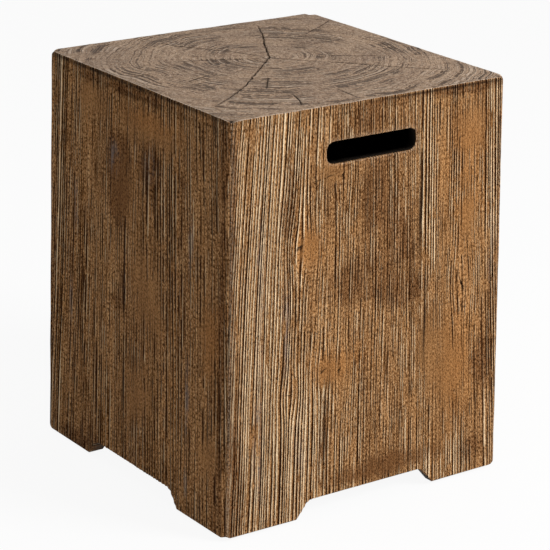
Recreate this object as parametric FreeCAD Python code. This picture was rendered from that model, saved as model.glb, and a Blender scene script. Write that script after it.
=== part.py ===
"""Square side table that stands over a gas cylinder: a hollow cast cover with a wood-grain face,
open underneath, with two hand slots, four feet and a levelling glide in each foot.
Millimetres, +Z up, front hand slot towards -Y, origin on the floor under the middle of the cover."""
import FreeCAD, Part
import math
import os

Vector = FreeCAD.Vector
UP = Vector(0, 0, 1)

# Whole cover
overall_height = 508.0
cast_base_width = 414.0
cast_top_width = 399.0
corner_round = 9.0
top_edge_round = 1.5
foot_edge_round = 2.5
foot_ground_gap = 4.0

# Walls
front_wall = 14.0
side_wall = 22.0
cavity_corner_round = 14.0

# Top slab and the mortar line under it
slab_edge_height = 12.0
slab_plug_depth = 10.0
slab_plug_clearance = 1.0
mortar_thickness = 1.0
mortar_setback = 1.0

# Hand slots in the front and back walls
slot_width = 129.0
slot_height = 26.0
slot_below_top = 44.0
slot_corner_round = 9.5
slot_edge_round = 2.0

# Notches that leave a foot at each corner
notch_height = 22.0
notch_base_width = 208.0
notch_top_width = 171.0
notch_corner_round = 5.0

# Thickened corner inside each foot
boss_reach = 53.0
boss_height = 46.0
boss_chamfer = 16.0
boss_draft_height = 18.0

# Recess and threaded insert in each foot
glide_inset = 31.0
recess_radius = 16.5
recess_depth = 12.0
insert_radius = 6.5
insert_length = 16.0
insert_flange_radius = 9.0
insert_flange_thickness = 1.5
insert_groove_depth = 0.8
insert_groove_height = 3.0
stud_relief = 1.0

# Levelling glide
stud_radius = 4.0
stud_above_nut = 20.0
stud_tip_chamfer = 1.0
nut_across_flats = 13.0
nut_thickness = 3.5
nut_stop_gap = 0.3
neck_radius = 3.0
ball_radius = 4.5
running_clearance = 0.08
pad_radius = 15.0
pad_rim_height = 4.0
pad_hub_radius = 7.5
pad_hub_gap = 1.0
pad_edge_round = 1.2
sole_radius = 12.5
sole_thickness = 2.0
sole_recess = 1.0
sole_side_clearance = 0.3

# Levels worked out from the sizes above
cast_bottom = foot_ground_gap
joint_level = overall_height - slab_edge_height
wall_top = joint_level - mortar_thickness
recess_top = cast_bottom + recess_depth
insert_top = recess_top + insert_length
nut_top = recess_top - nut_stop_gap
nut_bottom = nut_top - nut_thickness
stud_top = nut_top + stud_above_nut
pad_bottom = sole_thickness - sole_recess
pad_hub_top = nut_bottom - pad_hub_gap
socket_radius = ball_radius + running_clearance
socket_mouth_radius = neck_radius + 0.35 * (ball_radius - neck_radius)
ball_level = pad_hub_top - math.sqrt(socket_radius ** 2 - socket_mouth_radius ** 2)

CORNERS = {
    "front_left": (-1, -1),
    "front_right": (1, -1),
    "back_right": (1, 1),
    "back_left": (-1, 1),
}


def outer_half(level):
    """Half the outside width of the tapered cover at a height."""
    share = (level - cast_bottom) / (overall_height - cast_bottom)
    return 0.5 * (cast_base_width + share * (cast_top_width - cast_base_width))


def rectangle(half_x, half_y, level):
    corners = [(-half_x, -half_y), (half_x, -half_y), (half_x, half_y), (-half_x, half_y)]
    points = [Vector(x, y, level) for x, y in corners]
    return Part.makePolygon(points + points[:1])


def tapered_block(low, high, inset_x=0.0, inset_y=0.0):
    """Block between two heights whose sides stay parallel to the cover's own sides."""
    sections = []
    for level in (low, high):
        half = outer_half(level)
        sections.append(rectangle(half - inset_x, half - inset_y, level))
    return Part.makeLoft(sections, True, True)


def upright_edges(shape):
    """The four long edges at the corners of a tapered block."""
    found = []
    for edge in shape.Edges:
        ends = [vertex.Point for vertex in edge.Vertexes]
        if abs(ends[0].z - ends[1].z) > 0.5 * shape.BoundBox.ZLength:
            found.append(edge)
    return found


def edges_at(shape, level):
    """The edges that lie flat at a height."""
    return [edge for edge in shape.Edges
            if abs(edge.BoundBox.ZMin - level) < 0.01 and abs(edge.BoundBox.ZMax - level) < 0.01]


def cast_form():
    """Outside of the whole cover, with its rounded corners and edges."""
    form = tapered_block(cast_bottom, overall_height)
    form = form.makeFillet(corner_round, upright_edges(form))
    form = form.makeFillet(top_edge_round, edges_at(form, overall_height))
    return form.makeFillet(foot_edge_round, edges_at(form, cast_bottom))


def cavity_form(low, high, clearance=0.0):
    """Hollow inside the walls, or a block that stands inside them with a clearance."""
    form = tapered_block(low, high, side_wall + clearance, front_wall + clearance)
    return form.makeFillet(cavity_corner_round, upright_edges(form))


def slab_between(low, high):
    """Flat layer wider than the cover, to cut the form at two heights."""
    side = 2.0 * cast_base_width
    return Part.makeBox(side, side, high - low, Vector(-0.5 * side, -0.5 * side, low))


def rounded_outline(points, rounds):
    """Closed flat outline through points, each corner rounded by its own radius."""
    count = len(points)
    arcs = []
    for index in range(count):
        corner = points[index]
        back = (points[index - 1] - corner).normalize()
        ahead = (points[(index + 1) % count] - corner).normalize()
        half_angle = 0.5 * back.getAngle(ahead)
        reach = rounds[index] / math.tan(half_angle)
        middle = (back + ahead).normalize()
        gap = rounds[index] / math.sin(half_angle) - rounds[index]
        arcs.append((corner + back * reach, corner + middle * gap, corner + ahead * reach))
    edges = []
    for index, (start, through, end) in enumerate(arcs):
        following = arcs[(index + 1) % count][0]
        if rounds[index] > 0.0:
            edges.append(Part.Arc(start, through, end).toShape())
        if (following - end).Length > 0.001:
            edges.append(Part.LineSegment(end, following).toShape())
    return Part.Wire(edges)


def slot_cutter(side):
    """Rounded slot through the front (-1) or back (1) wall, level with the top."""
    high = overall_height - slot_below_top
    low = high - slot_height
    face_y = side * outer_half(0.5 * (low + high))
    y = face_y + side * front_wall
    half = 0.5 * slot_width
    points = [Vector(-half, y, low), Vector(half, y, low), Vector(half, y, high), Vector(-half, y, high)]
    outline = rounded_outline(points, [slot_corner_round] * 4)
    return Part.Face(outline).extrude(Vector(0, -side * 3.0 * front_wall, 0))


def notch_cutter():
    """Notch with sloping ends, right across the cover from front to back."""
    low = cast_bottom - notch_height
    high = cast_bottom + notch_height
    half_top = 0.5 * notch_top_width
    half_low = notch_base_width - half_top
    reach = cast_base_width
    points = [Vector(-half_low, -reach, low), Vector(half_low, -reach, low),
              Vector(half_top, -reach, high), Vector(-half_top, -reach, high)]
    outline = rounded_outline(points, [0.0, 0.0, notch_corner_round, notch_corner_round])
    return Part.Face(outline).extrude(Vector(0, 2.0 * reach, 0))


def glide_place(corner):
    """Middle of a foot's glide, set in from both outside faces of the foot."""
    reach = outer_half(cast_bottom) - glide_inset
    side_x, side_y = CORNERS[corner]
    return Vector(side_x * reach, side_y * reach, 0)


def corner_boss(corner):
    """Thickened inner corner of a foot, drawn in towards the walls at its top."""
    side_x, side_y = CORNERS[corner]
    outside = outer_half(cast_bottom)
    wall_x = outside - 0.5 * side_wall
    wall_y = outside - 0.5 * front_wall
    lower = outside - boss_reach

    def section(level, draw_in):
        near = lower + draw_in
        flat = near + boss_chamfer
        corners = [(wall_x, near), (wall_x, wall_y), (near, wall_y), (near, flat), (flat, near)]
        points = [Vector(side_x * x, side_y * y, level) for x, y in corners]
        return Part.makePolygon(points + points[:1])

    straight_top = cast_bottom + boss_height - boss_draft_height
    block = Part.Face(section(cast_bottom, 0.0)).extrude(UP * (straight_top - cast_bottom))
    shoulder = Part.makeLoft([section(straight_top, 0.0),
                              section(cast_bottom + boss_height, boss_draft_height)], True, True)
    return block.fuse(shoulder).removeSplitter()


def foot_recess(corner):
    """Recess for the glide, seat for the insert and relief for the stud's tip."""
    place = glide_place(corner)
    recess = Part.makeCylinder(recess_radius, recess_depth + cast_bottom, place)
    insert_seat = insert_envelope(place)
    relief_height = stud_top + stud_relief - insert_top
    relief = Part.makeCylinder(stud_radius + stud_relief, relief_height, place + UP * insert_top)
    return recess.fuse([insert_seat, relief])


def insert_envelope(place):
    """Outside of a threaded insert: flange, body and the grooves that key it into the casting."""
    flange = Part.makeCylinder(insert_flange_radius, insert_flange_thickness, place + UP * recess_top)
    body = Part.makeCylinder(insert_radius, insert_length, place + UP * recess_top)
    groove_level = recess_top + 0.5 * (insert_length + insert_flange_thickness - insert_groove_height)
    groove = Part.makeCylinder(insert_radius + 1.0, insert_groove_height, place + UP * groove_level)
    core = Part.makeCylinder(insert_radius - insert_groove_depth, insert_groove_height,
                             place + UP * groove_level)
    return flange.fuse(body).cut(groove.cut(core)).removeSplitter()


def cast_walls():
    """Four walls with their feet, cast as one ring: slots, notches and glide seats are moulded in."""
    walls = cast_form().common(slab_between(cast_bottom - 1.0, wall_top))
    walls = walls.cut(cavity_form(cast_bottom - 1.0, wall_top + 1.0))
    walls = walls.fuse([corner_boss(corner) for corner in CORNERS]).removeSplitter()
    side_notches = notch_cutter()
    side_notches.rotate(Vector(0, 0, 0), UP, 90)
    walls = walls.cut([notch_cutter(), side_notches])
    walls = walls.cut([slot_cutter(-1), slot_cutter(1)])
    walls = soften_slots(walls)
    return walls.cut([foot_recess(corner) for corner in CORNERS])


def soften_slots(walls):
    """Rounds the outside edge of both hand slots."""
    high = overall_height - slot_below_top
    low = high - slot_height
    rim = []
    for edge in walls.Edges:
        box = edge.BoundBox
        at_slot = low - 0.01 < box.ZMin and box.ZMax < high + 0.01
        inside_width = max(abs(box.XMin), abs(box.XMax)) < 0.5 * slot_width + 0.01
        middle = edge.valueAt(0.5 * (edge.FirstParameter + edge.LastParameter))
        on_face = abs(abs(middle.y) - outer_half(middle.z)) < 0.05
        if at_slot and inside_width and on_face:
            rim.append(edge)
    return walls.makeFillet(slot_edge_round, rim)


def top_slab():
    """End-grain slab that covers the walls, with a plug that centres it inside them."""
    slab = cast_form().common(slab_between(joint_level, overall_height + 1.0))
    plug = cavity_form(joint_level - slab_plug_depth, joint_level + 1.0, slab_plug_clearance)
    return slab.fuse(plug).removeSplitter()


def mortar_line():
    """Thin bed between the walls and the slab, raked back a little from the outside face."""
    inset = mortar_setback
    bed = tapered_block(wall_top, joint_level, inset, inset)
    bed = bed.makeFillet(max(corner_round - inset, 0.5), upright_edges(bed))
    return bed.cut(cavity_form(wall_top - 1.0, joint_level + 1.0))


def threaded_insert(corner):
    """Brass insert moulded into the foot, bored for the stud."""
    place = glide_place(corner)
    bore = Part.makeCylinder(stud_radius + running_clearance, 3.0 * insert_length,
                             place + UP * (recess_top - insert_length))
    return insert_envelope(place).cut(bore)


def hexagon(across_flats, level, height, place):
    radius = across_flats / math.sqrt(3.0)
    points = []
    for step in range(6):
        angle = math.radians(60.0 * step)
        points.append(place + Vector(radius * math.cos(angle), radius * math.sin(angle), level))
    return Part.Face(Part.makePolygon(points + points[:1])).extrude(UP * height)


def glide_stud(corner):
    """Steel stud with its fixed hexagon, and a neck and ball that turn in the pad."""
    place = glide_place(corner)
    shank = Part.makeCylinder(stud_radius, stud_top - nut_bottom, place + UP * nut_bottom)
    tip = edges_at(shank, stud_top)
    shank = shank.makeChamfer(stud_tip_chamfer, tip)
    nut = hexagon(nut_across_flats, nut_bottom, nut_thickness, place)
    neck = Part.makeCylinder(neck_radius, nut_bottom - ball_level, place + UP * ball_level)
    ball = Part.makeSphere(ball_radius, place + UP * ball_level)
    return shank.fuse([nut, neck, ball]).removeSplitter()


def glide_pad(corner):
    """Nylon pad with a socket for the ball above and a shallow seat for the sole below."""
    place = glide_place(corner)
    rim = Part.makeCylinder(pad_radius, pad_rim_height, place + UP * pad_bottom)
    rim = rim.makeFillet(pad_edge_round, edges_at(rim, pad_bottom + pad_rim_height))
    hub = Part.makeCylinder(pad_hub_radius, pad_hub_top - pad_bottom, place + UP * pad_bottom)
    socket = Part.makeSphere(socket_radius, place + UP * ball_level)
    seat = Part.makeCylinder(sole_radius + sole_side_clearance, sole_recess, place + UP * pad_bottom)
    return rim.fuse(hub).removeSplitter().cut([socket, seat])


def glide_sole(corner):
    """Rubber disc under the pad, which rests on the floor."""
    place = glide_place(corner)
    disc = Part.makeCylinder(sole_radius, sole_thickness, place)
    return disc.makeChamfer(0.25 * sole_recess, edges_at(disc, 0.0))


def build():
    shapes = {"cast_walls": cast_walls(), "top_slab": top_slab(), "mortar_line": mortar_line()}
    for corner in CORNERS:
        shapes["threaded_insert_" + corner] = threaded_insert(corner)
        shapes["glide_stud_" + corner] = glide_stud(corner)
        shapes["glide_pad_" + corner] = glide_pad(corner)
        shapes["glide_sole_" + corner] = glide_sole(corner)
    return shapes


os.makedirs("parts", exist_ok=True)
for name, shape in build().items():
    box = shape.optimalBoundingBox(False)
    print(name, len(shape.Solids), "solid, valid", shape.isValid(), "volume", round(shape.Volume, 1),
          "from", round(box.XMin, 2), round(box.YMin, 2), round(box.ZMin, 2),
          "to", round(box.XMax, 2), round(box.YMax, 2), round(box.ZMax, 2))
    shape.exportStep("parts/" + name + ".step")
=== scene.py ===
import math

import bpy
import numpy as np
from mathutils import Matrix, Vector


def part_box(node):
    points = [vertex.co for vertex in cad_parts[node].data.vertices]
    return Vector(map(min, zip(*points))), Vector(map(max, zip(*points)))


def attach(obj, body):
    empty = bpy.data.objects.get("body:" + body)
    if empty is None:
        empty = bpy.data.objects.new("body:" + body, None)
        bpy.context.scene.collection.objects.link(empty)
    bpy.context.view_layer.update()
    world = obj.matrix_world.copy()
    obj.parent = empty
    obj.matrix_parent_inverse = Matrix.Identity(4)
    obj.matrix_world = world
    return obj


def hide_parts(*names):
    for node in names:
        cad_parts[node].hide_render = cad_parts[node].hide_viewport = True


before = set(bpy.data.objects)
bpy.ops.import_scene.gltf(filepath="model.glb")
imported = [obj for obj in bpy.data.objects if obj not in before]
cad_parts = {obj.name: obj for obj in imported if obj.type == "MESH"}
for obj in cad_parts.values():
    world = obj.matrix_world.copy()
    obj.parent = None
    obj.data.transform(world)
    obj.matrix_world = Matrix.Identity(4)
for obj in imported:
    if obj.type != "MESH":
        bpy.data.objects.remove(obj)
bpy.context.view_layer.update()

# Walls and feet: one ring cast in fibre cement against a mould taken from brushed timber planks.
# The hand slots, the hose notches and the glide seats are part of the casting, and the outside
# is stained brown and rubbed back, so that the ridges of the grain are paler than its grooves,
# and a painted highlight runs along one flank of each groove.
foot_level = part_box("cast_walls")[0].z
wall_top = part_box("cast_walls")[1].z
table_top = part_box("top_slab")[1].z
base_half = 0.2070
top_half = 0.1995
corner_round = 0.009
foot_edge_round = 0.0025
front_wall = 0.014
side_wall = 0.022
cavity_round = 0.014
slot_half_width = 0.0645
slot_height = 0.026
slot_top = table_top - 0.044
slot_round = 0.0095
slot_rim_round = 0.002
notch_height = 0.022
notch_half_low = 0.104
notch_half_high = 0.0855
notch_round = 0.005
notch_arris = 0.0012
boss_reach = 0.053
boss_height = 0.046
boss_chamfer = 0.016
boss_draft = 0.018
glide_inset = 0.031
through_reach = 0.3
overshoot = 0.01
close = 0.0001
slack = 0.0005
level_normal = 0.9


def outer_half(level):
    """Half the outside width of the tapered cover at a height."""
    share = (level - foot_level) / (table_top - foot_level)
    return base_half + share * (top_half - base_half)


def pick(part, wanted):
    """Selects in edit mode the faces or edges of the active piece for which wanted is true."""
    bpy.ops.object.mode_set(mode="EDIT")
    bpy.ops.mesh.select_all(action="DESELECT")
    bpy.ops.mesh.select_mode(type="FACE" if part == "faces" else "EDGE")
    bpy.ops.object.mode_set(mode="OBJECT")
    mesh = bpy.context.object.data
    points = [vertex.co for vertex in mesh.vertices]
    for item in mesh.polygons if part == "faces" else mesh.edges:
        if wanted(item, [points[index] for index in item.vertices]):
            item.select = True
    bpy.ops.object.mode_set(mode="EDIT")


def done():
    bpy.ops.mesh.select_all(action="SELECT")
    bpy.ops.object.mode_set(mode="OBJECT")


def round_edges(wanted, width, segments):
    """Rounds the wanted edges of the active piece; a single segment makes a chamfer."""
    pick("edges", wanted)
    bpy.ops.mesh.bevel(offset=width, segments=segments, affect="EDGES")
    done()


def upper_face(face, points):
    return face.normal.z > level_normal


def only(piece):
    """Selects one piece and nothing else."""
    bpy.ops.object.select_all(action="DESELECT")
    piece.select_set(True)
    bpy.context.view_layer.objects.active = piece


def block(name, low, high):
    """Plain box between two corners, with its place in its mesh."""
    middle = (Vector(low) + Vector(high)) / 2
    bpy.ops.mesh.primitive_cube_add(size=1.0, location=middle)
    piece = bpy.context.object
    piece.name = name
    piece.scale = Vector(high) - Vector(low)
    bpy.ops.object.transform_apply()
    return piece


def tapered_block(name, low, high, inset_x, inset_y, upright_round):
    """Box between two heights whose sides follow the slope of the cover's own sides."""
    half_x, half_y = outer_half(low) - inset_x, outer_half(low) - inset_y
    piece = block(name, (-half_x, -half_y, low), (half_x, half_y, high))
    drawn_in = outer_half(low) - outer_half(high)
    pick("faces", upper_face)
    bpy.ops.transform.resize(value=(1 - drawn_in / half_x, 1 - drawn_in / half_y, 1),
                             center_override=(0, 0, high))
    done()
    tall = 0.5 * (high - low)
    round_edges(lambda edge, points: abs(points[0].z - points[1].z) > tall, upright_round, 6)
    return piece


def carve(piece, operation, tool):
    """Joins a tool to a piece or cuts it out, and takes the tool away."""
    step = piece.modifiers.new("carve", "BOOLEAN")
    step.operation = operation
    step.object = tool
    step.solver = "EXACT"
    only(piece)
    bpy.ops.object.modifier_apply(modifier=step.name)
    bpy.data.objects.remove(tool)


def gathered(name, pieces):
    """Several loose pieces as one object."""
    only(pieces[0])
    for piece in pieces:
        piece.select_set(True)
    bpy.ops.object.join()
    pieces[0].name = name
    return pieces[0]


def grid_cut(piece, wanted, cuts):
    """Cuts only the wanted faces of a piece along planes, given as (place, normal) pairs."""
    pick("faces", lambda face, points: not wanted(face, points))
    bpy.ops.mesh.hide(unselected=False)
    for place, normal in cuts:
        bpy.ops.mesh.select_all(action="SELECT")
        bpy.ops.mesh.bisect(plane_co=place, plane_no=normal)
    bpy.ops.mesh.reveal(select=False)
    done()


def spaced(low, high, pitch):
    """Evenly spaced levels inside a span, about a pitch apart."""
    count = max(int(round((high - low) / pitch)), 2)
    return [low + (high - low) * step / count for step in range(1, count)]


def planes(normal, stops):
    """Cutting planes square to a direction, at stops along it."""
    return [(Vector(normal) * stop, normal) for stop in stops]


walls = tapered_block("wall_casting", foot_level, wall_top, 0, 0, corner_round)
round_edges(lambda edge, points: max(p.z for p in points) < foot_level + close, foot_edge_round, 3)
cavity = tapered_block("cavity", foot_level - overshoot, wall_top + overshoot, side_wall, front_wall,
                       cavity_round)
carve(walls, "DIFFERENCE", cavity)

# The feet are thickened inside each corner, and each block slopes back into the walls at its top.
corner_signs = {"front_left": (-1, -1), "front_right": (1, -1), "back_right": (1, 1), "back_left": (-1, 1)}
near = base_half - boss_reach
wall_x = base_half - 0.5 * side_wall
wall_y = base_half - 0.5 * front_wall
straight_top = foot_level + boss_height - boss_draft
bosses = []
for side_x, side_y in corner_signs.values():
    xs = sorted((side_x * near, side_x * wall_x))
    ys = sorted((side_y * near, side_y * wall_y))
    boss = block("boss", (xs[0], ys[0], foot_level), (xs[1], ys[1], straight_top))
    inner = Vector((side_x * near, side_y * near))
    round_edges(lambda edge, points: all((p.xy - inner).length < close for p in points), boss_chamfer, 1)
    pick("faces", upper_face)
    bpy.ops.mesh.extrude_region_move(TRANSFORM_OT_translate={"value": (0, 0, boss_draft)})
    bpy.ops.transform.resize(value=(1 - boss_draft / (wall_x - near), 1 - boss_draft / (wall_y - near), 1),
                             center_override=(side_x * wall_x, side_y * wall_y, straight_top + boss_draft))
    done()
    bosses.append(boss)
carve(walls, "UNION", gathered("bosses", bosses))

# The hose notches run right through, from front to back and from side to side.
for turned in (False, True):
    low, high = foot_level - notch_height, foot_level + notch_height
    half_low = 2 * notch_half_low - notch_half_high
    notch = block("notch", (-half_low, -through_reach, low), (half_low, through_reach, high))
    pick("faces", upper_face)
    bpy.ops.transform.resize(value=(notch_half_high / half_low, 1, 1), center_override=(0, 0, high))
    done()
    round_edges(lambda edge, points: min(p.z for p in points) > high - close
                and abs(points[0].y - points[1].y) > through_reach, notch_round, 4)
    if turned:
        notch.data.transform(Matrix.Rotation(math.radians(90), 4, "Z"))
    carve(walls, "DIFFERENCE", notch)

slot = block("slot", (-slot_half_width, -through_reach, slot_top - slot_height),
             (slot_half_width, through_reach, slot_top))
round_edges(lambda edge, points: abs(points[0].y - points[1].y) > through_reach, slot_round, 6)
carve(walls, "DIFFERENCE", slot)


def on_outside(point, reach=0.0003):
    return max(abs(point.x), abs(point.y)) > outer_half(point.z) - reach


def slot_rim(edge, points):
    """The outside edge of a hand slot."""
    level = all(slot_top - slot_height - slack < p.z < slot_top + slack for p in points)
    beside = all(abs(p.x) < slot_half_width + slack for p in points)
    on_rim = all(abs(p.x) > slot_half_width - slot_round - slack
                 or min(abs(p.z - slot_top), abs(p.z - slot_top + slot_height)) < slack for p in points)
    return level and beside and on_rim and all(on_outside(p) for p in points)


round_edges(slot_rim, slot_rim_round, 3)


def notch_arris_edge(edge, points):
    """The outside edge of a hose notch, down to the rounding under the foot."""
    low, high = foot_level + foot_edge_round - close, foot_level + notch_height + slack
    return all(low < p.z < high and on_outside(p)
               and min(abs(p.x), abs(p.y)) < notch_half_low + slack for p in points)


round_edges(notch_arris_edge, notch_arris, 2)

# The four glide seats: a recess in the foot, a step for the insert's flange, its seat and the
# relief for the stud's tip.
recess_radius = 0.0165
recess_top = foot_level + 0.012
seat_steps = ((0.009, 0.0015), (0.0065, 0.0145), (0.005, 0.0047))
glide_reach = base_half - glide_inset
round_sides = 48


def rod(name, radius, low, high, sides=round_sides):
    """Upright cylinder on the frame's own axis."""
    bpy.ops.mesh.primitive_cylinder_add(vertices=sides, radius=radius, depth=high - low,
                                        location=(0, 0, 0.5 * (low + high)))
    piece = bpy.context.object
    piece.name = name
    bpy.ops.object.transform_apply()
    return piece


seats = []
for side_x, side_y in corner_signs.values():
    seat = rod("seat", recess_radius, 0, recess_top)
    radius, level = recess_radius, recess_top
    for step_radius, rise in seat_steps:
        pick("faces", lambda face, points: upper_face(face, points) and points[0].z > level - close)
        bpy.ops.mesh.extrude_region_move(TRANSFORM_OT_translate={"value": (0, 0, 0)})
        bpy.ops.transform.resize(value=(step_radius / radius, step_radius / radius, 1),
                                 center_override=(0, 0, level))
        bpy.ops.mesh.extrude_region_move(TRANSFORM_OT_translate={"value": (0, 0, rise)})
        done()
        radius, level = step_radius, level + rise
    seat.data.transform(Matrix.Translation((side_x * glide_reach, side_y * glide_reach, 0)))
    seats.append(seat)
carve(walls, "DIFFERENCE", gathered("seats", seats))


def face_out(piece):
    """Turns all of a piece's faces outwards."""
    only(piece)
    pick("faces", lambda face, points: True)
    bpy.ops.mesh.normals_make_consistent(inside=False)
    done()


def check_cutter(points, width, depth, taper_ends, jitter, stray=0.0007):
    """Narrow four-sided cutter along points in mm on the ground plane, thinner where it runs out."""
    bend_pitch, thin_end, run_in = 0.005, 0.15, 2.4
    stops = np.array(points, float) * 0.001
    reach = np.concatenate([[0], np.cumsum(np.linalg.norm(np.diff(stops, axis=0), axis=1))])
    along = np.linspace(0, reach[-1], int(reach[-1] / bend_pitch) + 2)
    line = np.stack([np.interp(along, reach, stops[:, axis]) for axis in (0, 1)], axis=1)
    line[1:-1] += jitter.uniform(-stray, stray, line[1:-1].shape)
    share = along / reach[-1]
    from_end = np.minimum(share if taper_ends[0] else 1, 1 - share if taper_ends[1] else 1)
    thinned = thin_end + (1 - thin_end) * np.clip(run_in * from_end, 0, 1)
    radius = thinned * jitter.uniform(0.7, 1.2, len(line))
    curve = bpy.data.curves.new("check", "CURVE")
    curve.dimensions = "3D"
    curve.twist_mode = "Z_UP"
    curve.bevel_depth = 0.0005 * width
    curve.bevel_resolution = 0
    curve.use_fill_caps = True
    spline = curve.splines.new("POLY")
    spline.points.add(len(line) - 1)
    for index, (x, y) in enumerate(line):
        spline.points[index].co = (x, y, 0, 1)
        spline.points[index].radius = radius[index]
    cutter = bpy.data.objects.new("check_cutter", curve)
    bpy.context.scene.collection.objects.link(cutter)
    only(cutter)
    bpy.ops.object.convert(target="MESH")
    cutter = bpy.context.object
    cutter.scale = (1, 1, 2 * depth / width)
    bpy.ops.object.transform_apply(location=False, rotation=False, scale=True)
    face_out(cutter)
    return cutter


# Short cuts and holes left by the planks' knots and checks, in millimetres across and up each
# side as seen from outside: points, width, depth.
knot_cuts = {
    "front": [([(-108, 343), (-101, 346), (-95, 348)], 3.4, 2.5),
              ([(-84, 421), (-62, 424), (-42, 427)], 1.1, 1.2), ([(-44, 421), (-40, 427)], 2.4, 2.0),
              ([(-71, 184), (-66, 188), (-61, 189)], 2.0, 1.5), ([(-46, 182), (-41, 186)], 2.2, 1.8),
              ([(135, 270), (139, 262), (140, 256), (145, 249)], 2.0, 2.0),
              ([(-118, 167), (-113, 166)], 2.6, 2.0), ([(132, 120), (136, 117)], 2.2, 1.6),
              ([(88, 487), (93, 484)], 2.2, 1.6), ([(-52, 438), (-51, 452)], 1.6, 1.5),
              ([(-20, 262), (-4, 266), (12, 264)], 1.0, 0.9),
              ([(186, 244), (190, 262), (187, 280)], 1.4, 1.4), ([(104, 268), (112, 274)], 1.4, 1.2),
              ([(-165, 247), (-158, 250)], 1.8, 1.4), ([(197, 238), (200, 227), (198, 212)], 3.6, 5.0)],
    "left": [([(82, 352), (85, 357), (89, 353)], 2.6, 2.0), ([(28, 170), (34, 172)], 2.0, 1.6),
             ([(-19, 268), (-18, 246), (-19, 222)], 1.3, 1.8), ([(186, 318), (187, 344)], 1.6, 1.6)],
    "right": [([(-86, 238), (-79, 242), (-73, 240)], 3.0, 2.2), ([(92, 378), (98, 382)], 2.2, 1.8),
              ([(8, 90), (13, 92)], 2.0, 1.6), ([(40, 330), (42, 300), (41, 280)], 1.2, 1.6)],
    "back": [([(66, 298), (73, 302), (79, 300)], 3.2, 2.2), ([(-124, 208), (-117, 212)], 2.2, 1.8),
             ([(18, 121), (24, 119)], 2.0, 1.6), ([(-62, 402), (-44, 405), (-30, 403)], 1.1, 1.2)],
}
side_turns = {"front": 0, "right": 90, "back": 180, "left": 270}
chisel = np.random.RandomState(3)
for name, cuts in knot_cuts.items():
    for points, width, depth in cuts:
        middle = 0.001 * sum(point[1] for point in points) / len(points)
        cutter = check_cutter(points, width, depth, (True, True), chisel)
        cutter.data.transform(Matrix.Rotation(math.radians(90), 4, "X"))
        cutter.data.transform(Matrix.Translation((0, -outer_half(middle), 0)))
        cutter.data.transform(Matrix.Rotation(math.radians(side_turns[name]), 4, "Z"))
        carve(walls, "DIFFERENCE", cutter)


# The outside is cut into a fine grid, which the grain is then pressed into.
column_pitch = 0.00092
row_pitch = 0.012
upright = 0.6
square_on = 0.75


def outside_face(face, points, reach=0.0024):
    return abs(face.normal.z) < upright and all(on_outside(p, reach) for p in points)


columns = spaced(-base_half, base_half, column_pitch)
rows = spaced(foot_level, wall_top, row_pitch) + [foot_level + 0.004, foot_level + 0.006]
fronts, sides = planes((1, 0, 0), columns), planes((0, 1, 0), columns)
grid_cut(walls, lambda face, points: outside_face(face, points) and abs(face.normal.y) > square_on, fronts)
grid_cut(walls, lambda face, points: outside_face(face, points) and abs(face.normal.x) > square_on, sides)
grid_cut(walls, outside_face, planes((0, 0, 1), rows))


def drift(across, along, seed):
    """Smooth random heights from -1 to 1 at places counted in steps across and along."""
    size = 256
    table = np.random.RandomState(seed).uniform(-1.0, 1.0, (size, size))
    cell_a, cell_b = np.floor(across).astype(int), np.floor(along).astype(int)
    share_a, share_b = across - cell_a, along - cell_b
    share_a = share_a * share_a * (3 - 2 * share_a)
    share_b = share_b * share_b * (3 - 2 * share_b)
    here_a, next_a = cell_a % size, (cell_a + 1) % size
    here_b, next_b = cell_b % size, (cell_b + 1) % size
    near = table[here_a, here_b] * (1 - share_a) + table[next_a, here_b] * share_a
    far = table[here_a, next_b] * (1 - share_a) + table[next_a, next_b] * share_a
    return near * (1 - share_b) + far * share_b


def bell(values, middle, width):
    """1 at the middle, fading out over the width."""
    return np.exp(-((values - middle) / width) ** 2)


def ramp(values, start, length):
    """0 up to the start, then rising to 1 over the length."""
    return np.clip((values - start) / length, 0, 1)


def spots(across, level, places):
    """Soft spots, each 1 at its middle: places are middles and half sizes, in millimetres."""
    return sum(bell(across, u, half_u) * bell(level, z, half_z) for u, z, half_u, half_z in places)
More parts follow.
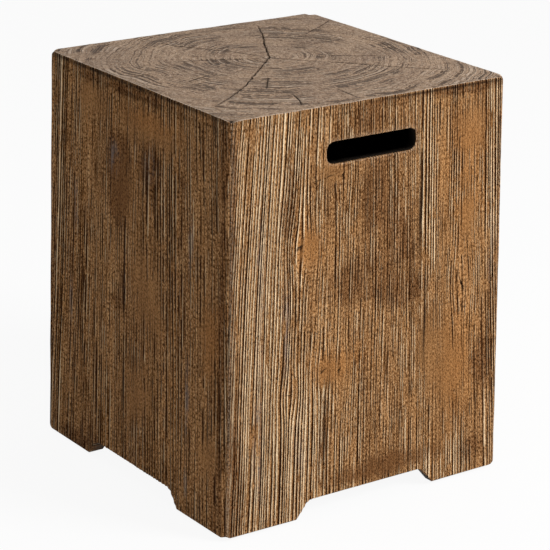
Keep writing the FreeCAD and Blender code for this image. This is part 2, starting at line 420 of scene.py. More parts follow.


# What the mould's four planks carry, in millimetres from the middle of each side, seen from
# outside, and from the floor: knots as (across, height, size), the rest as soft spots.
# The last row of each side draws painted shade: a dark band under the top arris, dark lines down checks and
# at the foot, and a few thin dark streaks.
planks = {
    "front": {
        "knots": [(-101, 346, 6), (-42, 423, 4), (-67, 187, 4), (-42, 184, 4), (139, 258, 6),
                  (-116, 166, 4), (134, 118, 3)],
        # The stain rows at 492 to 505 mm, just under the top of the front, left and right, are painted shade
        # under the top arris.
        "stain": [(-5, 483, 26, 20), (4, 385, 34, 60), (-30, 290, 34, 34), (56, 262, 46, 22),
                  (45, 330, 26, 36), (176, 150, 20, 34), (188, 250, 7, 80), (20, 44, 100, 15),
                  (160, 36, 26, 14), (-64, 110, 12, 50), (-199, 300, 12, 280), (-190, 60, 12, 60),
                  (-120, 400, 12, 60), (112, 503, 100, 5), (150, 502, 50, 7), (196, 440, 8, 60)],
        "smooth": [(128, 140, 26, 90), (-90, 342, 22, 24), (-60, 185, 40, 22), (146, 330, 18, 70),
                   (-60, 428, 40, 16), (20, 44, 80, 14), (150, 450, 30, 40), (90, 190, 20, 60)],
        "bold": [(-145, 430, 44, 110), (-152, 260, 42, 130), (-160, 80, 46, 110), (-90, 90, 30, 80),
                 (84, 380, 12, 110), (186, 420, 14, 110), (120, 30, 40, 30)],
        "ash": [(-160, 110, 10, 110), (-158, 320, 9, 90), (-120, 250, 8, 80), (-100, 90, 12, 60),
                (184, 330, 6, 90)],
        "warm": [(140, 160, 40, 120), (-90, 345, 40, 40), (140, 400, 60, 90), (-40, 190, 60, 30)],
        "shade_and_streaks": [(110, 504.5, 120, 1.6), (74, 360, 2.5, 60), (84, 210, 2, 50), (-64, 110, 2, 50)],
    },
    "left": {
        "knots": [(31, 171, 3), (-19, 250, 3)],
        "stain": [(-42, 413, 20, 28), (-36, 396, 26, 50), (-32, 358, 22, 45), (35, 416, 30, 26),
                  (38, 404, 18, 34), (110, 413, 14, 20), (-5, 497, 120, 7), (-140, 14, 50, 16),
                  (-35, 228, 20, 10), (192, 250, 8, 300), (-200, 250, 6, 300)],
        "smooth": [(40, 460, 95, 28), (30, 250, 46, 70), (10, 120, 36, 45), (168, 245, 22, 60),
                   (165, 100, 24, 40), (-20, 380, 40, 50), (-100, 470, 30, 20)],
        "bold": [(-172, 250, 12, 330), (-122, 340, 8, 90), (92, 200, 8, 200), (-60, 60, 16, 60)],
        "ash": [(125, 345, 6, 44), (123, 150, 6, 60), (120, 44, 7, 20), (-133, 318, 6, 45),
                (-145, 193, 5, 40), (-45, 408, 14, 26), (35, 414, 18, 22)],
        "warm": [(-95, 215, 24, 10), (170, 240, 22, 60), (40, 470, 80, 20)],
        "shade_and_streaks": [(-20, 505, 330, 3), (-80, 14, 20, 8), (-21, 128, 1.6, 45), (-19, 246, 1.4, 40)],
    },
    "back": {
        "knots": [(72, 300, 6), (-120, 210, 4), (20, 120, 5), (-60, 400, 4)],
        "stain": [(90, 330, 34, 50), (-90, 180, 30, 60), (0, 90, 50, 26), (-150, 420, 20, 50),
                  (10, 480, 30, 20), (-190, 90, 14, 60), (30, 46, 90, 14)],
        "smooth": [(-30, 260, 40, 90), (120, 150, 24, 70), (-120, 330, 24, 60), (90, 440, 40, 24)],
        "bold": [(160, 260, 30, 300), (-180, 300, 20, 200), (-60, 120, 24, 90), (40, 400, 14, 80)],
        "ash": [(150, 160, 8, 120), (-40, 360, 8, 60)],
        "warm": [(-30, 260, 50, 90), (120, 150, 40, 70)],
        "shade_and_streaks": [(60, 504.5, 160, 1.6), (-70, 260, 2.5, 60)],
    },
    "right": {
        "knots": [(-80, 240, 5), (95, 380, 5), (10, 90, 4)],
        "stain": [(-60, 260, 40, 40), (60, 420, 50, 30), (100, 120, 30, 50), (-150, 350, 18, 90),
                  (0, 492, 120, 9), (150, 40, 40, 16)],
        "smooth": [(40, 300, 30, 110), (-110, 120, 30, 60), (-40, 440, 50, 30), (130, 260, 20, 50)],
        "bold": [(-176, 200, 20, 260), (165, 330, 24, 160), (-20, 160, 16, 120)],
        "ash": [(-20, 150, 8, 90), (150, 260, 6, 90)],
        "warm": [(40, 300, 40, 100), (-110, 120, 40, 60)],
        "shade_and_streaks": [(20, 506, 330, 2.4), (50, 150, 2, 50)],
    },
}
plank_marks = ("stain", "smooth", "bold", "ash", "warm", "shade_and_streaks")
plank_order = list(planks)
side_normals = {"front": (0, -1), "right": (1, 0), "back": (0, 1), "left": (-1, 0)}
stripe_pitch = {"front": 3.9, "right": 5.2, "back": 4.4, "left": 5.4}
full_turn = 2 * math.pi
fan = 0.14
fan_height = 508.0
knot_push = 0.5
relief_depth = 0.0007


# Each drift has a seed of its own, plus the side's place in the table, so that no two are alike.
def grain_phase(name, across, level):
    """Stripes of grain counted across a plank: they fan out downwards, wander and part at knots."""
    order = plank_order.index(name)
    fanned = across / (1 + fan * (1 - level / fan_height))
    bent = fanned + 4.5 * drift(across / 150.0 + 9 * order, level / 300.0, 11 + order)
    bent = bent + 0.5 * drift(across / 26.0, level / 90.0 + 5 * order, 21 + order)
    for knot_u, knot_z, size in planks[name]["knots"]:
        swell = bell(across, knot_u, 3.2 * size) * bell(level, knot_z, 7.0 * size)
        bent = bent - (across - knot_u) * swell * knot_push
    return bent / stripe_pitch[name] + 0.45 * drift(bent / 14.0, level / 420.0, 31 + order)


def plank_relief(name, across, level):
    """Height of the brushed grain, from -1 in a groove to about 1 on a ridge."""
    order = plank_order.index(name)
    phase = grain_phase(name, across, level)
    strength = 0.55 + 0.45 * drift(phase / 4.0, level / 150.0, 61 + order)
    strength = np.clip(strength + 0.5 * spots(across, level, planks[name]["bold"]), 0, 1.1)
    thin = drift(phase / 0.6, level / 210.0, 81 + order)
    broad = drift(phase / 2.5, level / 300.0, 41 + order)
    swell = drift(phase / 9.0, level / 260.0, 51 + order)
    height = 0.35 * thin + 0.30 * broad + 0.25 * swell - np.cos(full_turn * phase) * strength
    knots = [(u, z, 3.5 * size, 7 * size) for u, z, size in planks[name]["knots"]]
    flat = spots(across, level, planks[name]["smooth"] + knots)
    return height * (1 - 0.7 * np.clip(flat, 0, 1))


def vertex_arrays(piece):
    count = len(piece.data.vertices)
    places, normals = np.zeros(count * 3), np.zeros(count * 3)
    piece.data.vertices.foreach_get("co", places)
    piece.data.vertices.foreach_get("normal", normals)
    return places.reshape(-1, 3), normals.reshape(-1, 3)


def note(piece, name, values):
    """Stores a number for each vertex, which the finish reads."""
    attribute = piece.data.attributes.new(name, "FLOAT", "POINT")
    attribute.data.foreach_set("value", values.astype(np.float32))


def moved(piece, places):
    """Moves the piece's vertices to the places."""
    piece.data.vertices.foreach_set("co", places.ravel())
    piece.data.update()


def press_grain(piece):
    """Presses the planks' relief into a casting's outside and notes what the finish needs."""
    skin_depth, skin_normal = 0.0101, 0.55
    level_off, deepest, highest = 0.35, -1.6, 0.9
    places, normals = vertex_arrays(piece)
    x, y, z = places.T
    sideways = np.hypot(normals[:, 0], normals[:, 1])
    gap_x, gap_y = outer_half(z) - np.abs(x), outer_half(z) - np.abs(y)
    buried, from_corner = np.minimum(gap_x, gap_y), np.maximum(gap_x, gap_y)
    skin = (buried < skin_depth) & (sideways > skin_normal)
    marks = {name: np.zeros(len(places)) for name in ("relief",) + plank_marks}
    total = np.zeros(len(places))
    for name, (normal_x, normal_y) in side_normals.items():
        facing = np.clip(normals[:, 0] * normal_x + normals[:, 1] * normal_y, 0, None) ** 3 * skin
        across = (y * normal_x - x * normal_y) * 1000
        marks["relief"] += facing * plank_relief(name, across, z * 1000)
        for mark in plank_marks:
            marks[mark] += facing * spots(across, z * 1000, planks[name][mark])
        total += facing
    for mark in marks:
        marks[mark] = np.where(total > 0, marks[mark] / np.maximum(total, 1e-6), 0)
    pressed = np.clip(marks["relief"] - level_off, deepest, highest)
    depth = relief_depth * pressed * ramp(z, foot_level, 0.006) * skin
    outward = normals * np.array([1, 1, 0]) / np.maximum(sideways, 1e-6)[:, None]
    moved(piece, places + outward * depth[:, None])

    # The pale mark: rubbed wear round the slot rims, a pale line along the top arris that is partly wear and
    # partly painted highlight, and a painted highlight down the upright corners, placed by which way the
    # rounding faces.
    turn = np.abs(normals[:, 1]) / np.maximum(sideways, 1e-6)
    corner_highlight = bell(turn, 0.85, 0.09) * skin * (from_corner < 0.012)
    top_arris = 0.7 * bell(z, table_top, 0.0007) * (buried < 0.0018)
    past_x = np.clip(np.abs(x) - slot_half_width + slot_round, 0, None)
    past_z = np.clip(np.abs(z - slot_top + slot_height / 2) - slot_height / 2 + slot_round, 0, None)
    from_rim = np.hypot(past_x, past_z) - slot_round
    rim = bell(from_rim, 0.0012, 0.0009) * (np.abs(normals[:, 1]) > 0.3) * skin
    marks["wear_and_highlight"] = np.maximum(np.maximum(corner_highlight, top_arris), rim)
    at_corner = from_corner < 0.0125
    # Painted shade: the 'inside' mark colours the cavity, the slots, the notches, the cut knots and the
    # undersides near-black.
    marks["inside"] = ramp(buried, np.where(at_corner, 0.0040, 0.0012), 0.0008)
    # Painted shade: the 'depth' mark darkens the cut knots and checks and the deepest grooves of the grain.
    marks["depth"] = ramp(buried, 0.0003, 0.0010) * ~at_corner
    marks["depth"] *= (z > foot_level + 0.03) & (z < wall_top - 0.001)
    marks["depth"] *= (past_x == 0) | (from_rim > 0.004)
    for mark, values in marks.items():
        note(piece, mark, values)
    map_grain(piece, places * 1000)


def map_grain(piece, places):
    """Maps each side: stripes of grain counted across it, and metres up it, for the finish."""
    side_gap = 300.0
    grain_map = piece.data.uv_layers.new(name="grain")
    corners = np.zeros(len(piece.data.loops), int)
    piece.data.loops.foreach_get("vertex_index", corners)
    sizes = np.array([len(face.vertices) for face in piece.data.polygons])
    at = places[corners]
    starts = np.concatenate([[0], np.cumsum(sizes)[:-1]])
    middles = np.repeat(np.add.reduceat(at, starts) / sizes[:, None], sizes, axis=0)
    mapped = np.zeros((len(corners), 2))
    for order, (name, (normal_x, normal_y)) in enumerate(side_normals.items()):
        facing = middles[:, 0] * normal_x + middles[:, 1] * normal_y
        chosen = facing >= np.abs(middles[:, 0] * normal_y - middles[:, 1] * normal_x)
        across = at[:, 1] * normal_x - at[:, 0] * normal_y
        phase = grain_phase(name, across, at[:, 2]) + side_gap * order
        mapped[chosen] = np.stack([phase, at[:, 2] * 0.001], axis=1)[chosen]
    grain_map.data.foreach_set("uv", mapped.ravel())


def wear_tips(piece):
    """Wears the cover's corners down at its top and under its feet, where it is knocked about."""
    reach, drawn_in, worn_low, worn_high = 0.006, 0.0018, 0.0022, 0.0026
    places, normals = vertex_arrays(piece)
    level = places[:, 2]
    corner = ramp(np.min(np.abs(places[:, :2]), axis=1), outer_half(level) - 0.013, 0.009) ** 2
    high = ramp(level, table_top - reach, reach) ** 2
    low = ramp(-level, -foot_level - reach, reach) ** 2
    places[:, :2] -= np.sign(places[:, :2]) * (drawn_in * corner * (high + low))[:, None]
    places[:, 2] += corner * (worn_low * low - worn_high * high)
    moved(piece, places)


press_grain(walls)
wear_tips(walls)
face_out(walls)
walls.data.shade_smooth()
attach(walls, "cover")
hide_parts("cast_walls")


class Tone:
    """A number, colour or place in a finish; arithmetic on it adds Math nodes."""

    def __init__(self, finish, socket):
        self.finish = finish
        self.socket = socket

    def math(self, operation, *others):
        sockets = dict(enumerate((self,) + others))
        return self.finish.node("Math", {"operation": operation}, sockets)

    def __add__(self, other):
        return self.math("ADD", other)

    def __sub__(self, other):
        return self.math("SUBTRACT", other)

    def __rsub__(self, other):
        return (self * -1.0) + other

    def __mul__(self, other):
        return self.math("MULTIPLY", other)

    __radd__ = __add__
    __rmul__ = __mul__

    def between(self, low, high):
        """0 below low and 1 above high, with a soft step between them."""
        return self.finish.node("MapRange", {"interpolation_type": "SMOOTHSTEP"},
                                {"Value": self, "From Min": low, "From Max": high})


class Finish:
    """One surface finish, built up node by node on a Principled surface."""

    def __init__(self, name):
        self.material = bpy.data.materials.new(name)
        self.material.use_nodes = True
        self.tree = self.material.node_tree
        self.surface = self.tree.nodes["Principled BSDF"]

    def node(self, kind, settings, sockets, result=0):
        made = self.tree.nodes.new("ShaderNode" + kind)
        for key, value in settings.items():
            setattr(made, key, value)
        for key, value in sockets.items():
            self.feed(made.inputs[key], value)
        return Tone(self, made.outputs[result])

    def feed(self, socket, value):
        if isinstance(value, Tone):
            self.tree.links.new(value.socket, socket)
        else:
            socket.default_value = value

    def set(self, **values):
        """Feeds the surface's sockets; a socket's name is written with _ for each space."""
        for key, value in values.items():
            self.feed(self.surface.inputs[key.replace("_", " ")], value)

    def mark(self, name):
        return self.node("Attribute", {"attribute_name": name}, {}, "Fac")

    def place(self):
        return self.node("TexCoord", {}, {}, "Object")

    def stretched(self, place, scale):
        return self.node("VectorMath", {"operation": "MULTIPLY"}, {0: place, 1: scale})

    def noise(self, place, scale, detail, roughness):
        return self.node("TexNoise", {}, {"Vector": place, "Scale": scale, "Detail": detail,
                                          "Roughness": roughness})

    def blend(self, share, first, second, how="MIX"):
        return self.node("Mix", {"data_type": "RGBA", "blend_type": how},
                         {"Factor": share, 6: first, 7: second}, 2)

    def coat(self, share, tint, how="MIX"):
        """Lays a tint over the finish's colour so far."""
        self.colour = self.blend(share, self.colour, tint, how)

    def bump(self, height, strength, distance):
        return self.node("Bump", {}, {"Height": height, "Strength": strength, "Distance": distance})

    def cover(self, piece):
        piece.data.materials.clear()
        piece.data.materials.append(self.material)


def stain(red, green, blue):
    return (red, green, blue, 1.0)


wood_cast = Finish("stained_wood_cast")
grain = wood_cast.node("UVMap", {"uv_map": "grain"}, {})
place = wood_cast.place()
stained, smooth, bold_zone, ash, warm, shade_and_streaks = [wood_cast.mark(name) for name in plank_marks]
relief, wear_and_highlight, inside, recess_shade = [wood_cast.mark(name) for name in ("relief", "wear_and_highlight", "inside", "depth")]
thick = bold_zone.math("MINIMUM", 1.0)
stripes = wood_cast.node("SeparateXYZ", {}, {0: grain})


def along_grain(per_stripe, per_metre, detail, roughness):
    """Noise with features drawn out up the planks."""
    return wood_cast.noise(wood_cast.stretched(grain, (per_stripe, per_metre, 1.0)), 1.0, detail, roughness)


grip = along_grain(0.27, 4.0, 3.0, 0.7)
dashes = along_grain(0.73, 21.0, 4.0, 0.72)
spacing = along_grain(0.45, 1.2, 1.0, 0.5)
fibres = along_grain(1.9, 14.0, 4.0, 0.7)
threads = along_grain(2.9, 290.0, 2.0, 0.7)
streaks = along_grain(0.09, 3.0, 3.0, 0.6)
pores = wood_cast.noise(place, 460.0, 3.0, 0.75)
patches = wood_cast.noise(wood_cast.stretched(place, (14.0, 14.0, 6.0)), 1.0, 3.0, 0.55)
clouds = wood_cast.noise(place, 38.0, 4.0, 0.6)
mottle = (stained * 1.25 + patches * 1.2 - 0.82 + (clouds - 0.5) * 1.8).between(0.0, 0.9)
calm = (smooth + (clouds - 0.5) * 1.2).between(0.05, 1.2)
lively = 1 - calm * 0.75
bold = thick * (0.35 + streaks.between(0.36, 0.60) * 0.65)
hold = (grip.between(0.36, 0.60) * 0.75 + 0.22 + bold * 0.35) * (1 - calm * 0.8)
unbroken = (dashes + bold * 0.10).between(0.38, 0.56)
shifted = stripes + (fibres - 0.5) * 0.45 + (spacing - 0.5) * 1.8
groove = (shifted * full_turn).math("COSINE").between(0.25, 0.90) * hold * unbroken
# Pale crests on one flank of each groove: partly the rubbed-back stain, partly painted highlight.
crest_and_highlight = ((shifted - 0.30) * full_turn).math("COSINE").between(0.60, 0.98) * hold * unbroken
crest_and_highlight = crest_and_highlight * (0.42 + bold * 0.8)
dark_fibres = (1 - fibres.between(0.37, 0.47)) * lively
pale_fibres = fibres.between(0.54, 0.66) * lively
grime = (1 - threads.between(0.38, 0.50)) * (1 - calm * 0.3)
spark = threads.between(0.52, 0.64) * (1 - calm * 0.4)
wood_cast.colour = wood_cast.blend(streaks.between(0.35, 0.65), stain(0.275, 0.127, 0.046),
                                   stain(0.400, 0.196, 0.074))
wood_cast.coat(thick * 0.4, stain(0.50, 0.240, 0.084))
wood_cast.coat(pale_fibres * 0.55 + spark * 0.7, stain(0.70, 0.42, 0.20))
wood_cast.coat(calm * 0.5, stain(0.320, 0.155, 0.056))
wood_cast.coat(warm.between(0.2, 1.0) * 0.45, stain(1.1, 0.93, 0.70), "MULTIPLY")
wood_cast.coat(dark_fibres * 0.9, stain(0.060, 0.020, 0.003))
wood_cast.coat(grime * (0.85 + mottle * 0.1), stain(0.048, 0.016, 0.002))
wood_cast.coat(mottle * 0.65, stain(0.42, 0.34, 0.30), "MULTIPLY")
wood_cast.coat(ash.between(0.2, 1.0) * dashes.between(0.4, 0.6) * 0.55, stain(0.19, 0.175, 0.175))
# Paints the pale crests, partly as a painted highlight beside the grooves.
wood_cast.coat(crest_and_highlight.between(0.05, 0.6) * (1 - mottle * 0.4), stain(1.0, 0.74, 0.46))
wood_cast.coat(groove.between(0.03, 0.5) * 0.95, stain(0.028, 0.007, 0.0003))
# Pale wear round the slot rims, with painted highlights down the corners and along the top arris.
wood_cast.coat(wear_and_highlight * pores.between(0.42, 0.62) * 0.6, stain(0.70, 0.50, 0.34))
# Painted shade: a dark band under the top arris, at the foot and down checks, with a few thin dark streaks.
wood_cast.coat(shade_and_streaks.math("MINIMUM", 1.0) * (0.7 + dashes.between(0.3, 0.6) * 0.25),
               stain(0.014, 0.007, 0.004))
# Painted shade in the cut knots, checks and deep grooves.
wood_cast.coat(recess_shade, stain(0.016, 0.009, 0.005))
# Painted shade: everything below the casting's outer skin is coloured near-black.
shade = wood_cast.blend(clouds, stain(0.006, 0.005, 0.004), stain(0.034, 0.026, 0.020))
wood_cast.coat(inside, shade)
grain_height = crest_and_highlight * 1.3 - groove * 1.6 + (fibres - 0.5) * 1.5 * lively + (threads - 0.5) * 2.0
grain_height = grain_height + (pores - 0.5) * mottle
wood_cast.set(Base_Color=wood_cast.colour, Roughness=0.60 - crest_and_highlight * 0.10 + mottle * 0.10,
              Specular_IOR_Level=0.03, Normal=wood_cast.bump(grain_height + relief * 0.3, 1.0, 0.0010))
wood_cast.cover(walls)

# A plug under it drops inside the walls and centres it, and its edge is rounded and rubbed.
joint_level = table_top - 0.012
plug_depth = 0.010
plug_clearance = 0.001
overlap = 0.001
top_edge_round = 0.0015
top_pitch = 0.002
pith = (0.010, 0.025)
slab = tapered_block("top_casting", joint_level, table_top, 0, 0, corner_round)
round_edges(lambda edge, points: min(p.z for p in points) > table_top - close, top_edge_round, 3)
plug = tapered_block("plug", joint_level - plug_depth, joint_level + overlap, side_wall + plug_clearance,
                     front_wall + plug_clearance, cavity_round - plug_clearance)
carve(slab, "UNION", plug)

# The checks in the end grain, in millimetres from the middle of the top: points, width, depth.
# The long ones start where they meet, beside the pith.
meeting = (9, 24)
checks = [
    ([(94, 170), (82, 148), (71, 127), (38, 74), meeting], 2.1, 5.0),
    ([meeting, (-28, -12), (-64, -46), (-92, -74), (-118, -94), (-145, -115), (-170, -131)], 1.9, 5.0),
    ([meeting, (30, -4), (50, -24), (84, -60), (119, -102), (156, -137)], 1.9, 3.5),
    ([meeting, (-28, 36), (-62, 52), (-101, 65)], 1.8, 3.0),
    ([(-139, -24), (-122, -17), (-103, -12)], 1.7, 2.5),
    ([(-186, 29), (-172, 29), (-157, 31)], 1.6, 2.5),
    ([(-80, -99), (-66, -80), (-50, -59)], 1.5, 2.5),
    ([(-68, -134), (-77, -160), (-89, -182)], 1.6, 3.0),
    ([(-11, -146), (-12, -168), (-14, -187)], 1.5, 2.5),
    ([(124, 105), (152, 122), (190, 147)], 1.7, 2.5),
    ([(92, 52), (114, 54), (137, 54)], 1.5, 2.0),
    ([(4, 34), (-14, 74), (-36, 106), (-56, 134), (-64, 156)], 1.7, 3.0),
    ([(80, -7), (104, -24), (132, -40)], 1.5, 2.0),
]
chisel = np.random.RandomState(5)
for points, width, depth in checks:
    free_ends = (points[0] != meeting, points[-1] != meeting)
    cutter = check_cutter(points, width, depth, free_ends, chisel, stray=0.0013)
    cutter.data.transform(Matrix.Translation((0, 0, table_top)))
    carve(slab, "DIFFERENCE", cutter)


def side_face(face, points):
    return abs(face.normal.z) < level_normal and min(p.z for p in points) > joint_level - close


def front_or_back(face, points):
    return side_face(face, points) and abs(face.normal.y) > abs(face.normal.x)


def left_or_right(face, points):
    return side_face(face, points) and abs(face.normal.x) > abs(face.normal.y)


top_cuts = spaced(-top_half, top_half, top_pitch)
grid_cut(slab, front_or_back, fronts)
grid_cut(slab, left_or_right, sides)
grid_cut(slab, side_face, planes((0, 0, 1), spaced(joint_level, table_top - top_edge_round, top_pitch)))
grid_cut(slab, upper_face, planes((1, 0, 0), top_cuts) + planes((0, 1, 0), top_cuts))
press_grain(slab)
wear_tips(slab)
face_out(slab)

# The face of the top: rings, saw marks and worn hollows, pressed a fraction of a millimetre deep.
ring_lift, hollow_lift, saw_lift, rub_depth = 0.00016, 0.00025, 0.00008, 0.0003
places, normals = vertex_arrays(slab)
x, y, z = places.T
from_pith = np.hypot(x - pith[0], y - pith[1]) * 1000
wander = 6.0 * drift(x * 14, y * 14, 71) + 2.0 * drift(x * 45, y * 45, 72)
rings = drift((from_pith + wander) / 4.2, np.zeros(len(places)), 73)
hollows = drift(x * 26, y * 26, 74)
saw = drift(x * 12, y * 220, 75)
face_up = np.clip(normals[:, 2], 0, 1) ** 2 * (z > table_top - top_edge_round)
gap = top_half - np.max(np.abs(places[:, :2]), axis=1)
rubbed = np.clip(np.exp(-np.clip(gap, 0, 1) / 0.004) * (drift(x * 60, y * 60, 76) + 0.2), 0, 1)
lift = ring_lift * rings + hollow_lift * hollows + saw_lift * saw - rub_depth * rubbed
z += np.clip(lift, -0.001, 0.0005) * face_up
from_check = np.ones(len(places))
for points, *_ in checks:
    for start, end in zip(np.array(points[:-1]) * 0.001, np.array(points[1:]) * 0.001):
        share = np.clip((places[:, :2] - start) @ (end - start) / np.sum((end - start) ** 2), 0, 1)
        off = np.linalg.norm(places[:, :2] - start - share[:, None] * (end - start), axis=1)
        from_check = np.minimum(from_check, off)
# Painted shade: darker where the top is cut below its face, and along each check's line.
dark = np.maximum(ramp(-z, 0.0004 - table_top, 0.0012), 0.85 * bell(from_check, 0, 0.0010))
note(slab, "check_shade", dark * (gap > 0.004) * (z > joint_level + slack))
moved(slab, places)
slab.data.shade_smooth()

log_cast = Finish("stained_end_grain_cast")
place = log_cast.place()
offset = log_cast.node("VectorMath", {"operation": "SUBTRACT"}, {0: place, 1: (*pith, table_top)})
radial = log_cast.node("VectorMath", {"operation": "LENGTH"}, {0: offset}, "Value")
sway = log_cast.noise(place, 9.0, 2.0, 0.5)
ripple = log_cast.noise(place, 60.0, 3.0, 0.6)
radius = radial + (sway - 0.5) * 0.045 + (ripple - 0.5) * 0.006


def growth(per_metre):
    """Noise that changes only outwards from the pith."""
    return log_cast.node("TexNoise", {"noise_dimensions": "1D"},
                         {"W": radius * per_metre, "Scale": 1.0, "Detail": 1.0, "Roughness": 0.5})


def hairline(tone, width):
    """Thin lines where a noise passes its middle."""
    return 1 - (tone - 0.5).math("ABSOLUTE").between(0.3 * width, width)


year = growth(150.0)
decade = growth(55.0)
shown = log_cast.noise(place, 14.0, 2.0, 0.5).between(0.44, 0.60)
broken = log_cast.noise(place, 75.0, 2.0, 0.6).between(0.36, 0.50)
ring_strength = (shown * 0.75 + 0.25) * broken
rings_dark = (hairline(year, 0.045) + hairline(decade, 0.014)) * ring_strength
rings_pale = (1 - (year - 0.60).math("ABSOLUTE").between(0.02, 0.07)) * ring_strength
saw_run = log_cast.node("VectorRotate", {"rotation_type": "Z_AXIS"},
                        {"Vector": place, "Angle": math.radians(35.0)})
saw_marks = log_cast.noise(log_cast.stretched(saw_run, (48.0, 420.0, 1.0)), 1.0, 3.0, 0.7)
saw_zone = log_cast.noise(place, 20.0, 2.0, 0.5).between(0.40, 0.60)
scores = (1 - saw_marks.between(0.33, 0.39)) * saw_zone
blotch = log_cast.noise(place, 16.0, 4.0, 0.6)
grit = log_cast.noise(place, 330.0, 3.0, 0.8)
crumbs = log_cast.noise(place, 130.0, 3.0, 0.7)
check_shade = log_cast.mark("check_shade")
wear_and_highlight = log_cast.mark("wear_and_highlight")
log_cast.colour = log_cast.blend(blotch.between(0.3, 0.7), stain(0.355, 0.233, 0.152),
                                 stain(0.490, 0.332, 0.218))
log_cast.coat((1 - grit.between(0.36, 0.48)) * 0.95, stain(0.30, 0.24, 0.20), "MULTIPLY")
log_cast.coat((1 - crumbs.between(0.32, 0.42)) * 0.6, stain(0.50, 0.43, 0.38), "MULTIPLY")
log_cast.coat(grit.between(0.52, 0.66) * 0.6, stain(0.74, 0.59, 0.45))
log_cast.coat(rings_pale * 0.5, stain(0.72, 0.57, 0.44))
log_cast.coat(rings_dark.between(0.0, 0.7) * 0.8, stain(0.070, 0.040, 0.024))
log_cast.coat(scores * 0.7, stain(0.075, 0.046, 0.030))
# Pale line along the top's edge: partly wear, partly painted highlight.
log_cast.coat(wear_and_highlight * (0.4 + grit.between(0.3, 0.55) * 0.5), stain(0.85, 0.70, 0.56))
# Painted shade in and along the checks.
log_cast.coat(check_shade, stain(0.022, 0.013, 0.009))
log_height = (grit - 0.5) * 1.6 + (crumbs - 0.5) * 1.2 + rings_pale * 0.6 - rings_dark * 1.3 - scores * 1.2
log_cast.set(Base_Color=log_cast.colour, Roughness=0.50 + (blotch - 0.5) * 0.3 + check_shade * 0.3,
             Specular_IOR_Level=0.12, Normal=log_cast.bump(log_height, 1.0, 0.0010))
log_cast.cover(slab)
slab.data.materials.append(wood_cast.material)
for face in slab.data.polygons:
    if face.normal.z < level_normal and face.center.z > joint_level - close:
        face.material_index = int(on_outside(face.center, reach=0.004))
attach(slab, "cover")
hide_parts("top_slab")

# Mortar: the slab is bedded on the walls in a thin line of the same stained cement, struck
# almost flush, so that the planks seem to run through to the top.
mortar_setback = 0.0001
bed = tapered_block("mortar_bed", wall_top, joint_level, mortar_setback, mortar_setback, corner_round)
hollow = tapered_block("hollow", wall_top - overshoot, joint_level + overshoot, side_wall, front_wall,
                       cavity_round)
carve(bed, "DIFFERENCE", hollow)
grid_cut(bed, lambda face, points: outside_face(face, points, reach=0.0032), fronts + sides)
press_grain(bed)
bed.data.shade_smooth()
wood_cast.cover(bed)
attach(bed, "cover")
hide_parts("mortar_line")

# Threaded inserts: brass nuts turned from bar, with a flange at the bottom and grooves that key
# them into the feet, where they are moulded in. Their CAD shape stays.
brass = Finish("turned_brass")
place = brass.place()
tool_marks = brass.noise(brass.stretched(place, (150.0, 150.0, 5200.0)), 1.0, 2.0, 0.6)
tarnish = brass.noise(place, 260.0, 4.0, 0.6)
brass.colour = brass.blend(tarnish.between(0.35, 0.7), stain(0.72, 0.50, 0.20), stain(0.42, 0.27, 0.11))
brass.coat((1 - tool_marks.between(0.3, 0.5)) * 0.4, stain(0.50, 0.34, 0.14))
brass.set(Base_Color=brass.colour, Metallic=1.0, Roughness=0.26 + tarnish * 0.25,
          Normal=brass.bump(tool_marks, 0.5, 0.0001))
for corner in corner_signs:
    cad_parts["threaded_insert_" + corner].material_slots[0].material = brass.material

# Studs: bolts of zinc-plated steel with a rolled M8 thread, a hexagon for the spanner, and a neck
# with a ball that snaps into the pad's socket.
stud_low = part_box("glide_stud_front_left")[0].z
stud_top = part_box("glide_stud_front_left")[1].z
thread_pitch = 0.00125
thread_crest = 0.0040
thread_root = 0.0034
thread_run_out = 0.0010
hexagon_low = 0.0122
hexagon_high = 0.0157
hexagon_flats = 0.013
hexagon_chamfer = 0.0004
neck_radius = 0.0030
ball_radius = 0.0045
flank_slope = 1.35
crest_flat = 0.20

stud = rod("levelling_stud", thread_crest, hexagon_high - overlap, stud_top)
round_edges(lambda edge, points: min(p.z for p in points) > stud_top - close, thread_run_out, 2)
turns = spaced(hexagon_high - overlap, stud_top - close, thread_pitch / 8)
grid_cut(stud, lambda face, points: abs(face.normal.z) < level_normal, planes((0, 0, 1), turns))
places, normals = vertex_arrays(stud)
x, y, z = places.T
turn = np.mod(z / thread_pitch - np.arctan2(y, x) / full_turn, 1.0)
flank = np.clip(np.abs(2 * turn - 1) * flank_slope - crest_flat, 0, 1)
root = thread_crest - (thread_crest - thread_root) * flank
reach = np.hypot(x, y)
above = ramp(z, hexagon_high + thread_run_out, thread_run_out)
drawn_in = np.where(reach > root, 1 - above * (1 - root / np.maximum(reach, 1e-6)), 1.0)
places[:, :2] *= drawn_in[:, None]
moved(stud, places)
hexagon = rod("hexagon", 0.5 * hexagon_flats / math.cos(math.radians(30)), hexagon_low, hexagon_high, 6)
hexagon.data.transform(Matrix.Rotation(math.radians(30), 4, "Z"))
round_edges(lambda edge, points: abs(points[0].z - points[1].z) < close, hexagon_chamfer, 2)
carve(stud, "UNION", hexagon)
carve(stud, "UNION", rod("neck", neck_radius, stud_low + ball_radius, hexagon_low + overlap))
bpy.ops.mesh.primitive_uv_sphere_add(segments=round_sides, ring_count=24, radius=ball_radius,
                                     location=(0, 0, stud_low + ball_radius))
bpy.ops.object.transform_apply()
carve(stud, "UNION", bpy.context.object)
bpy.ops.object.shade_smooth_by_angle(angle=math.radians(32))

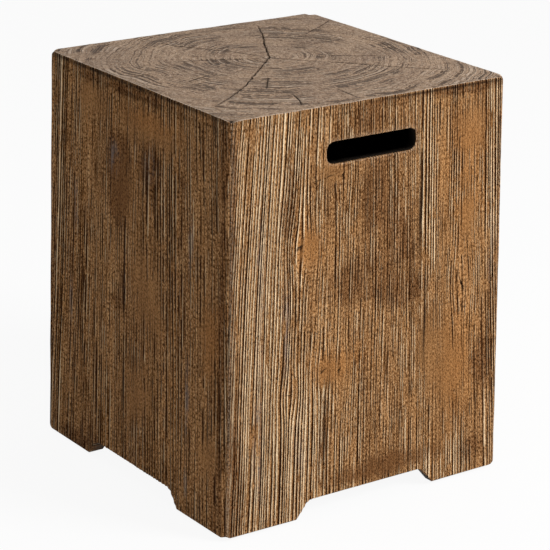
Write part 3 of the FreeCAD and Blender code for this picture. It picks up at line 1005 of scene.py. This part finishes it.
zinc = Finish("zinc_plated_steel")
place = zinc.place()
spangle = zinc.noise(place, 420.0, 3.0, 0.6)
scuffs = zinc.noise(zinc.stretched(place, (900.0, 900.0, 3000.0)), 1.0, 3.0, 0.7)
zinc.colour = zinc.blend(spangle.between(0.35, 0.7), stain(0.62, 0.63, 0.64), stain(0.46, 0.46, 0.44))
zinc.coat(scuffs.between(0.58, 0.72) * 0.4, stain(0.80, 0.80, 0.78))
zinc.set(Base_Color=zinc.colour, Metallic=1.0, Roughness=0.28 + spangle * 0.22,
         Normal=zinc.bump(scuffs, 0.3, 0.00005))
zinc.cover(stud)
for corner, (side_x, side_y) in corner_signs.items():
    only(stud)
    bpy.ops.object.duplicate(linked=False)
    placed = bpy.context.object
    placed.name = "levelling_stud_" + corner
    placed.data.transform(Matrix.Translation((side_x * glide_reach, side_y * glide_reach, 0)))
    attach(placed, "stud_" + corner)
    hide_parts("glide_stud_" + corner)
bpy.data.objects.remove(stud)

# Pads: black nylon mouldings with a fine spark-eroded surface, scuffed where they are handled.
# Each has a socket that its stud's ball snaps into. Their CAD shape stays.
nylon = Finish("moulded_nylon")
place = nylon.place()
erosion = nylon.noise(place, 2600.0, 2.0, 0.6)
scuffs = nylon.noise(place, 240.0, 4.0, 0.65)
nylon.colour = nylon.blend(scuffs.between(0.5, 0.75), stain(0.020, 0.020, 0.022), stain(0.055, 0.053, 0.050))
nylon.set(Base_Color=nylon.colour, Roughness=0.42 + scuffs * 0.25, Normal=nylon.bump(erosion, 0.5, 0.00008))

# Soles: discs of black rubber pressed into the pads from below, dull and dusty from the ground.
# Their CAD shape stays.
rubber = Finish("pressed_rubber")
place = rubber.place()
nap = rubber.noise(place, 1500.0, 3.0, 0.65)
dust = rubber.noise(place, 180.0, 4.0, 0.7)
rubber.colour = rubber.blend(dust.between(0.45, 0.75) * 0.7, stain(0.028, 0.027, 0.026),
                             stain(0.150, 0.135, 0.115))
rubber.set(Base_Color=rubber.colour, Roughness=0.80 + (nap - 0.5) * 0.2,
           Normal=rubber.bump(nap, 0.7, 0.00012))
for corner in corner_signs:
    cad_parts["glide_pad_" + corner].material_slots[0].material = nylon.material
    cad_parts["glide_sole_" + corner].material_slots[0].material = rubber.material

# Camera at the photograph's place, as fitted to the cover's edges. The aim is moved a little to
# the right and down, so that the cover sits in the frame as it does in the photograph.
azimuth = math.radians(-35.329)
elevation = math.radians(19.021)
roll = math.radians(0.918)
distance = 2.940
aim = Vector((0, 0, 0.256))
moved_right = 0.00482
moved_down = 0.02014
back = Vector((math.sin(azimuth) * math.cos(elevation), -math.cos(azimuth) * math.cos(elevation),
               math.sin(elevation)))
level_right = Vector((math.cos(azimuth), math.sin(azimuth), 0))
level_up = back.cross(level_right)
right = math.cos(roll) * level_right + math.sin(roll) * level_up
up = -math.sin(roll) * level_right + math.cos(roll) * level_up
station = aim + back * distance + right * moved_right - up * moved_down
camera = bpy.data.objects.new("camera", bpy.data.cameras.new("camera"))
bpy.context.scene.collection.objects.link(camera)
camera.matrix_world = Matrix.Translation(station) @ Matrix((right, up, back)).transposed().to_4x4()
camera.data.lens = 153.89
camera.data.sensor_width = 36.0
bpy.context.scene.camera = camera

# Studio: a pale floor just below the soles, an even pale sky and one large soft lamp.
bpy.ops.mesh.primitive_plane_add(size=12.0, location=(0, 0, -0.0002))
floor = bpy.context.object
floor.name = "studio_floor"
paper = Finish("studio_paper")
paper.set(Base_Color=stain(0.88, 0.88, 0.88), Roughness=0.9)
seen = paper.node("LightPath", {}, {}, "Is Camera Ray")
glossy = paper.node("LightPath", {}, {}, "Is Glossy Ray")
shine = paper.node("Emission", {}, {"Color": stain(1, 1, 1), "Strength": 1.0})
mixed = paper.node("MixShader", {}, {0: seen.math("MAXIMUM", glossy) * 0.92,
                                     1: Tone(paper, paper.surface.outputs[0]), 2: shine})
paper.feed(paper.tree.nodes["Material Output"].inputs["Surface"], mixed)
paper.cover(floor)

sky = bpy.data.worlds.new("studio_sky")
sky.use_nodes = True
bpy.context.scene.world = sky
tree = sky.node_tree
plain = tree.nodes["Background"]
plain.inputs["Color"].default_value = (1, 1, 1, 1)
plain.inputs["Strength"].default_value = 0.42
white = tree.nodes.new("ShaderNodeBackground")
path = tree.nodes.new("ShaderNodeLightPath")
either = tree.nodes.new("ShaderNodeMixShader")
tree.links.new(path.outputs["Is Camera Ray"], either.inputs[0])
tree.links.new(plain.outputs[0], either.inputs[1])
tree.links.new(white.outputs[0], either.inputs[2])
tree.links.new(either.outputs[0], tree.nodes["World Output"].inputs["Surface"])

lamp_place = Vector((1.5, -2.4, 2.0))
lamp_aim = Vector((0, 0, 0.3))
lamp = bpy.data.objects.new("key_lamp", bpy.data.lights.new("key_lamp", "AREA"))
lamp.data.size = 1.2
lamp.data.energy = 95.0
lamp.location = lamp_place
lamp.rotation_euler = (lamp_aim - lamp_place).to_track_quat("-Z", "Y").to_euler()
bpy.context.scene.collection.objects.link(lamp)
bpy.context.scene.view_settings.view_transform = "Standard"
